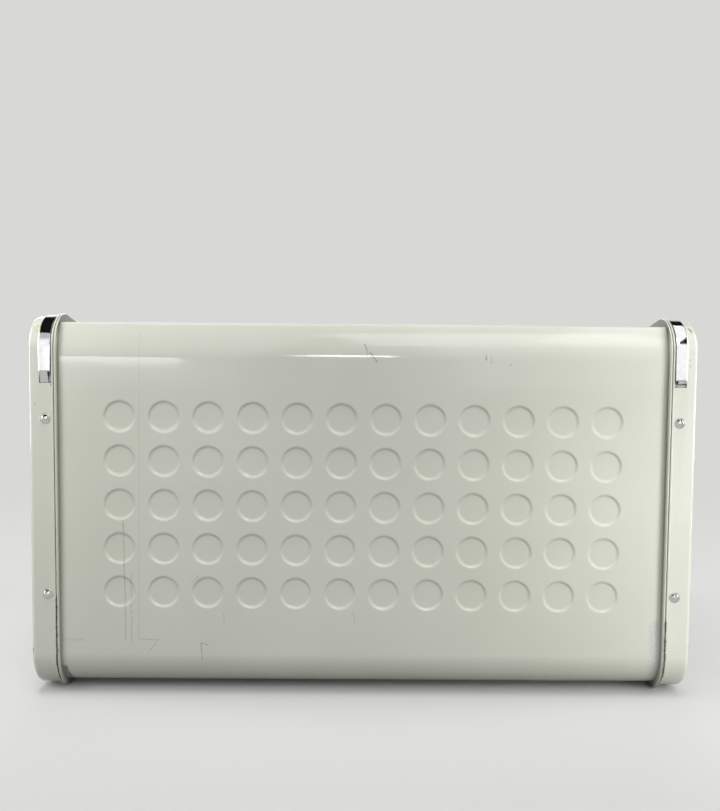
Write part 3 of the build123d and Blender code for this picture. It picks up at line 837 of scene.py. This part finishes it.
def doorSkin():
    fold = doorShape["foldRadius"]
    hem = degrees(doorShape["hemDepth"] / doorRadius)
    inner = doorRadius - 2 * fold
    half = doorShape["halfWidth"]
    piece = startChain("doorSkin", [sidePoint(pivot, inner, doorLow + hem, side * half) for side in (-1, 1)])
    turn(pivot, doorLow + hem, doorLow)
    turn(sidePoint(pivot, doorRadius - fold, doorLow), doorLow + 180, doorLow + 360, sideShape["foldSteps"])
    turn(pivot, doorLow, doorHigh)
    turn(sidePoint(pivot, doorRadius - fold, doorHigh), doorHigh, doorHigh + 180, sideShape["foldSteps"])
    turn(pivot, doorHigh, doorHigh - hem)
    faceOutwards(piece, (0, -1, 0))
    finishSheet(piece, doorShape["thickness"], edgeRound=doorShape["edgeRound"])
    return dress(piece, "door", "enamel", "door_skin")


handleShape = {
    "width": 0.120,
    "sheet": 0.0012,
    "aboveSill": 0.003,
    "foot": 0.018,
    "reach": 0.0086,
    "lip": 0.0095,
    "bend": 0.0018,
    "bendSteps": 6,
    "seatGap": 0.0001,
    "footPoints": (0, 0.004, 0.008, 0.012),  # where the foot follows the door's curve
    "lipPoint": 0.005,      # from the lip's free edge
    "endWidth": 0.006,      # of the parts that carry the rounded corners
    "cornerRound": 0.004,
    "cornerSteps": 6,
    "edgeRound": 0.0003,
}
handleLow = sillAngle + degrees(handleShape["aboveSill"] / doorRadius)


def doorHandle():
    seat = handleShape["seatGap"] + handleShape["sheet"] / 2
    foot, reach = handleShape["foot"], handleShape["reach"]
    lipEnd = foot - handleShape["lip"]
    corners = [(length, seat, 0) for length in handleShape["footPoints"]]
    corners += [
        (foot, seat, handleShape["bend"]),
        (foot + handleShape["sheet"] / 2, seat + reach, handleShape["bend"]),
        (lipEnd + handleShape["lipPoint"], seat + reach, 0),
        (lipEnd, seat + reach, 0),
    ]
    half = handleShape["width"] / 2
    points = []
    for length, out in roundCorners(corners, handleShape["bendSteps"]):
        angle = handleLow + degrees(length / doorRadius)
        points.append(sidePoint(pivot, doorRadius + out, angle, -half))
    piece = startChain("doorHandle", points)
    endWidth = handleShape["endWidth"]
    for step in (endWidth, 2 * (half - endWidth), endWidth):
        push((step, 0, 0))
    ends = (points[0], points[-1])
    pick(piece, lambda co: any((Vector((-abs(co.x), co.y, co.z)) - end).length < slack for end in ends))
    bpy.ops.mesh.bevel(affect="VERTICES", offset=handleShape["cornerRound"],
                       segments=handleShape["cornerSteps"], profile=0.5)
    faceOutwards(piece, (0, -1, 0))
    finishSheet(piece, handleShape["sheet"], edgeRound=handleShape["edgeRound"], offset=0)
    return dress(piece, "door", "trim_chrome", "door_handle")


doorSkin()
doorHandle()
print("door made")


# Turned pieces: one is modelled standing on its axis, the rest are copies

def turnedPiece(name, profile, steps=32):  # profile is (radius, height, corner radius), the axis is Z
    points = [Vector((r, 0, h)) for r, h in roundCorners(profile, steps=3)]
    piece = startChain(name, points)
    bpy.ops.mesh.spin(steps=steps, angle=2 * pi, center=(0, 0, 0), axis=(0, 0, 1))
    faceOutwards(piece, (0, 0, 1))
    smooth(piece, angle=40)
    return piece


def copiesOf(first, places):  # each place is a matrix; the first piece goes to the first of them
    made = [first]
    for number in range(1, len(places)):
        deselectAll()
        first.select_set(True)
        bpy.context.view_layer.objects.active = first
        bpy.ops.object.duplicate()
        made.append(bpy.context.object)
        made[-1].name = first.name + str(number + 1)
    for piece, spot in zip(made, places):
        piece.data.transform(spot)
    return made


rivetShape = {
    "flange": 0.0033,
    "flangeHeight": 0.00035,
    "dome": 0.00245,
    "domeHeight": 0.0015,
    "sunk": 0.0006,         # how deep the head's underside lies in the cap
    "undercut": 0.0002,
    "chamfer": 0.0003,
    "edgeRound": 0.0001,
    "edge": 0.0105,         # from the cap's end face
    "rowSpan": 0.1088,
    "bottomInset": 0.034,
}


def domeProfile(steps=7):
    flange, flangeHeight = rivetShape["flange"], rivetShape["flangeHeight"]
    dome, height = rivetShape["dome"], rivetShape["domeHeight"]
    sunk, chamfer, edgeRound = rivetShape["sunk"], rivetShape["chamfer"], rivetShape["edgeRound"]
    profile = [
        (0, -sunk, 0),
        (flange - rivetShape["undercut"], -sunk, 0),
        (flange, flangeHeight / 2, edgeRound),
        (flange - chamfer, flangeHeight, edgeRound),
        (dome + chamfer, flangeHeight, 0),
    ]
    rise = height - flangeHeight
    bow = (dome * dome + rise * rise) / (2 * rise)
    half = asin(dome / bow)
    for step in range(steps + 1):
        angle = half * (1 - step / steps)
        profile.append((bow * sin(angle), height - bow + bow * cos(angle), 0))
    return profile


def rivets():
    rivetX = capFace - rivetShape["edge"]
    one = turnedPiece("backRivet", domeProfile())
    facingBack = Matrix.Rotation(-pi / 2, 4, "X")
    facingDown = Matrix.Rotation(pi, 4, "X")
    spots = []
    for x in (-rivetX, rivetX):
        for z in (-0.5, 0.5):
            height = cadHigh.z / 2 + z * rivetShape["rowSpan"]
            spots.append(Matrix.Translation((x, cadHigh.y - capInset, height)) @ facingBack)
    bottomSpots = []
    for x in (-rivetX, rivetX):
        for y in (rearFoot.y - rivetShape["bottomInset"], frontFoot.y + rivetShape["bottomInset"]):
            bottomSpots.append(Matrix.Translation((x, y, capInset)) @ facingDown)
    made = copiesOf(one, spots + bottomSpots)
    for index, piece in enumerate(made):
        piece.name = ("backRivet" if index < len(spots) else "bottomRivet") + str(index % len(spots) + 1)
        dress(piece, "case", "rivet_steel", "back_rivets" if index < len(spots) else "bottom_rivets")


rivets()
print("rivets made")


# CAD nodes that keep their shape get their finish

keptFinishes = {
    "door_arm_left": "enamel", "door_arm_right": "enamel",
    "pivot_pin_left": "pin_steel", "pivot_pin_right": "pin_steel",
    "pin_retainer_left": "pin_steel", "pin_retainer_right": "pin_steel",
    "pivot_washer_left": "fibre_washer", "pivot_washer_right": "fibre_washer",
    "pivot_bush_left": "bush_brass", "pivot_bush_right": "bush_brass",
    "arm_rivets": "rivet_steel", "handle_screws": "rivet_steel", "handle_nuts": "pin_steel",
    "stop_buffers": "buffer_rubber",
}
for node, finish in keptFinishes.items():
    mesh = frame["nodes"][node].data
    mesh.materials.clear()
    mesh.materials.append(finishes[finish])


# Floor, light and camera

studio = {
    "paper": (216, 217, 215),      # what the floor and the distance look like
    "bounce": (112, 112, 108),     # the floor's share of the soft light
    "floorSize": 60.0,
    "floorGlow": 0.45,             # and its share of plain paper near the box
    "contactReach": 0.05,          # from the box's foot, where the paper is left out
    "floorFade": (0.35, 1.3),      # distances over which the lit floor turns to plain paper
    "roomGlow": 0.26,              # the room's light near the horizon
    "roomSteps": ((0.0, 1.0), (0.12, 0.8), (0.35, 0.28), (0.7, 0.1)),  # its share at heights of the sky
    "roomTop": 0.08,
    "roomBlue": 1.02,
    "ceiling": (0.42, 0.55),       # heights of the sky between which paper gives way to a dark ceiling
    "ceilingShade": (28, 28, 28),
    "cameraPlace": (0.005945, 0.674804, 0.218135),
    "cameraTurn": (86.3574, -0.4682, 179.6312),
    "lens": 39.951,
}

# Lamps: place, size, power, colour, aim, spread. The fills don't show in the gloss, and the
# window's slit is an ellipse.
lamps = {
    "keySoftbox": ((-0.52, 2.25, 1.95), (1.15, 1.15), 10.4, (1.0, 1.0, 0.985)),
    "rightCard": ((-1.10, 2.8, 0.86), (1.6, 1.6), 6.2, (1.0, 1.0, 1.0)),
    "ceilingCard": ((-0.58, 0.55, 1.3), (0.34, 1.9), 3.0, (1.0, 1.0, 1.0), (-0.58, 0.30, 0.12)),
    "leftCard": ((0.80, 2.1, 1.10), (1.2, 2.2), 6.0, (1.0, 1.0, 1.0)),
    "sideStripLeft": ((1.5, 0.0, 0.50), (0.5, 1.2), 9, (1.0, 1.0, 1.0)),
    "sideStripRight": ((-1.5, 0.0, 0.50), (0.5, 1.2), 9, (1.0, 1.0, 1.0)),
    "windowSlit": ((0.03, 2.7, 0.515), (0.38, 0.14), 2.2, (1.0, 1.0, 1.0)),
    "windowBlind": ((0.86, 2.7, 0.250), (0.5, 0.10), 1.1, (0.88, 0.95, 1.0)),
    "frontCard": ((0.5, -2.3, 1.3), (2.6, 1.6), 12, (1.0, 1.0, 1.0)),
    "frontFill": ((-0.3, -2.4, 1.3), (2.6, 1.6), 40, (1.0, 1.0, 1.0)),
    "topFill": ((0.2, 0.27, 1.3), (1.0, 0.4), 8.8, (1.0, 1.0, 1.0)),
    "nearFillRight": ((-0.36, 0.31, 0.16), (0.1, 0.3), 0.13, (1.0, 1.0, 0.99), (-0.20, 0.12, 0.12), 70),
    "nearFillLeft": ((0.36, 0.31, 0.30), (0.1, 0.2), 0.06, (1.0, 1.0, 0.99), (0.20, 0.12, 0.15), 70),
}


def seenRays(tree):  # 1 for what the camera sees, also in metal
    path = addNode(tree, "ShaderNodeLightPath")
    seen = path.outputs["Is Camera Ray"]
    for kind in ("Is Glossy Ray", "Is Transmission Ray"):
        inputs = {0: seen, 1: path.outputs[kind]}
        seen = addNode(tree, "ShaderNodeMath", inputs, operation="MAXIMUM").outputs[0]
    return seen


def mixedShaders(tree, factor, first, second):
    made = addNode(tree, "ShaderNodeMixShader", {0: factor})
    tree.links.new(first.outputs[0], made.inputs[1])
    tree.links.new(second.outputs[0], made.inputs[2])
    return made


def paperMaterial():
    made = bpy.data.materials.new("palePaper")
    made.use_nodes = True
    tree = made.node_tree
    tree.nodes.remove(tree.nodes["Principled BSDF"])
    paper = colour(*studio["paper"])
    place = addNode(tree, "ShaderNodeTexCoord").outputs["Object"]
    reach = addNode(tree, "ShaderNodeVectorMath", {0: place}, operation="LENGTH").outputs["Value"]
    fade = ranged(tree, reach, *studio["floorFade"], low=studio["floorGlow"], kind="SMOOTHSTEP")
    clear = addNode(tree, "ShaderNodeAmbientOcclusion", {"Distance": studio["contactReach"]}, samples=8)
    fade = multiplied(tree, fade, clear.outputs["AO"])
    lit = addNode(tree, "ShaderNodeBsdfDiffuse", {"Color": paper})
    plain = addNode(tree, "ShaderNodeEmission", {"Color": paper})
    dim = addNode(tree, "ShaderNodeBsdfDiffuse", {"Color": colour(*studio["bounce"])})
    seen = mixedShaders(tree, fade, lit, plain)
    both = mixedShaders(tree, seenRays(tree), dim, seen)
    tree.links.new(both.outputs[0], tree.nodes["Material Output"].inputs["Surface"])
    return made


def floor():
    deselectAll()
    bpy.ops.mesh.primitive_plane_add(size=studio["floorSize"])
    piece = bpy.context.object
    piece.name = "floorSheet"
    piece.data.materials.append(paperMaterial())


def areaLight(name, spot, size, power, tint, aim=(0, 0.1, 0.12), spread=180):
    light = bpy.data.lights.new(name, "AREA")
    light.shape = "ELLIPSE" if name == "windowSlit" else "RECTANGLE"
    light.size, light.size_y = size
    light.energy = power
    light.color = tint
    light.spread = radians(spread)
    lamp = bpy.data.objects.new(name, light)
    bpy.context.scene.collection.objects.link(lamp)
    lamp.location = spot
    lamp.rotation_euler = (Vector(aim) - Vector(spot)).to_track_quat("-Z", "Y").to_euler()
    lamp.visible_camera = False
    lamp.visible_glossy = "Fill" not in name


def world():
    made = bpy.data.worlds.new("softStudio")
    bpy.context.scene.world = made
    made.use_nodes = True
    tree = made.node_tree
    height = split(tree, addNode(tree, "ShaderNodeTexCoord").outputs["Generated"])["Z"]
    glow = addNode(tree, "ShaderNodeValToRGB", {"Fac": height})
    ramp = glow.color_ramp
    for position, level in studio["roomSteps"]:
        step = ramp.elements.new(position) if position > 0 else ramp.elements[0]
        step.color = (level, level, level * studio["roomBlue"], 1)
    ramp.elements[-1].color = (studio["roomTop"],) * 3 + (1,)
    room = {"Color": glow.outputs["Color"], "Strength": studio["roomGlow"]}
    room = addNode(tree, "ShaderNodeBackground", room)
    dark = ranged(tree, height, *studio["ceiling"])
    shown = blended(tree, dark, colour(*studio["paper"]), colour(*studio["ceilingShade"]))
    paper = addNode(tree, "ShaderNodeBackground", {"Color": shown, "Strength": 1.0})
    both = mixedShaders(tree, seenRays(tree), room, paper)
    tree.links.new(both.outputs[0], tree.nodes["World Output"].inputs["Surface"])


def camera():
    lens = bpy.data.cameras.new("camera")
    lens.lens = studio["lens"]
    lens.clip_start = 0.01
    piece = bpy.data.objects.new("camera", lens)
    bpy.context.scene.collection.objects.link(piece)
    piece.location = studio["cameraPlace"]
    piece.rotation_euler = Euler([radians(a) for a in studio["cameraTurn"]])
    bpy.context.scene.camera = piece


floor()
world()
for name, settings in lamps.items():
    areaLight(name, *settings)
camera()
bpy.context.scene.view_settings.view_transform = "Standard"
print("studio made")
